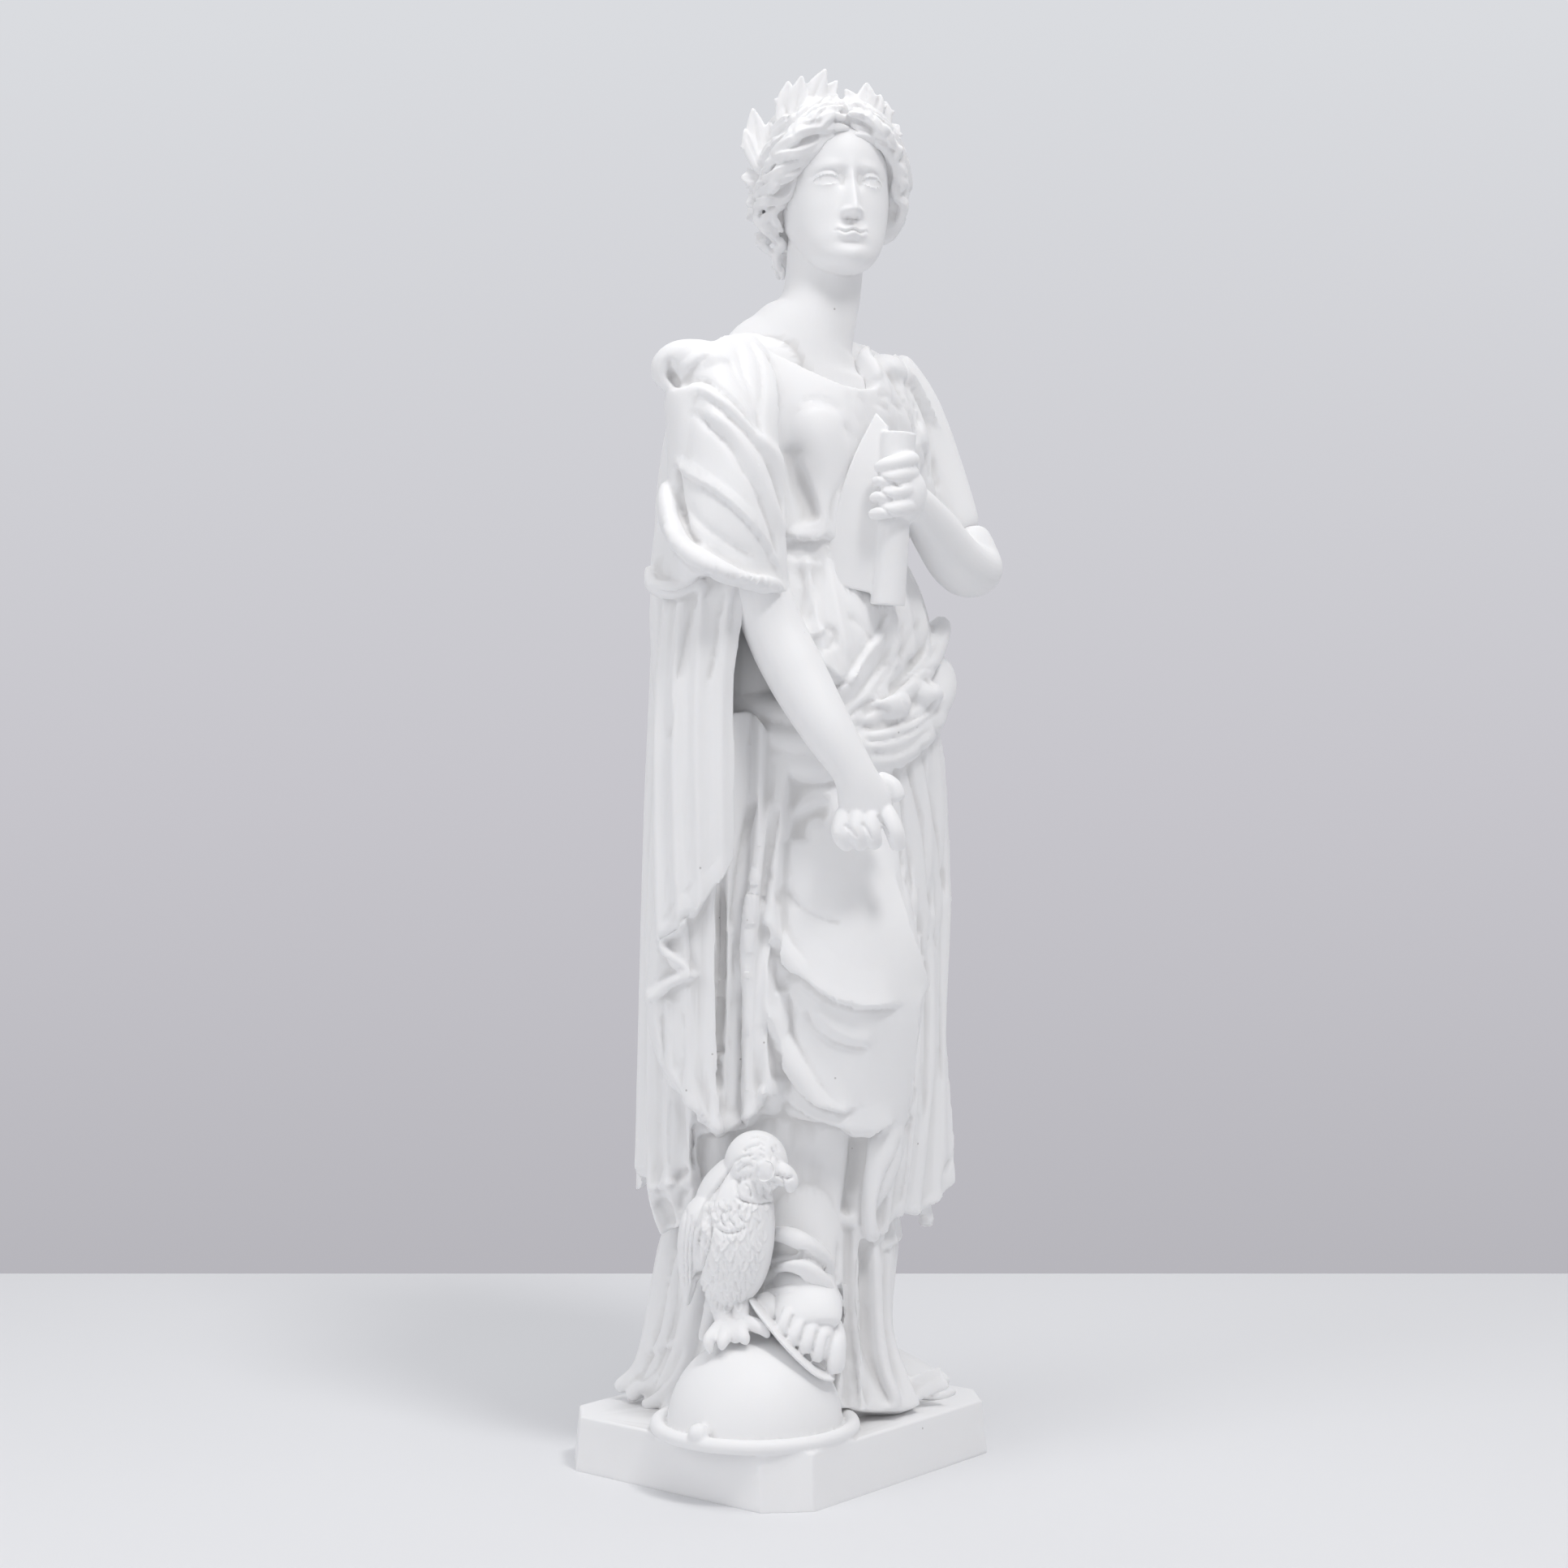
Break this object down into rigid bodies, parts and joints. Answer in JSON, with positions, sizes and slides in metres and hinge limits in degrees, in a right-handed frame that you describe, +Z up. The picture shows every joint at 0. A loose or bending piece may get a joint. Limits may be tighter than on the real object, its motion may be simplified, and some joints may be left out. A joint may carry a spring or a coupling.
{
  "type": "parian porcelain statuette",
  "caption": "White unglazed porcelain figure of a standing draped goddess with wreath, scroll, owl and helmet on a plinth with cut corners.",
  "frame": {"origin": "middle of the plinth's flat underside, on the surface the figure stands on", "axes": "+Z up, the figure faces -Y, her left is +X"},
  "size_m": [0.1824, 0.1465, 0.6001],
  "materials": {
    "parian": "matt, unglazed, very fine grained"
  },
  "bodies": {
    "root": {"minerva_figure": "parian"}
  },
  "joints": []
}
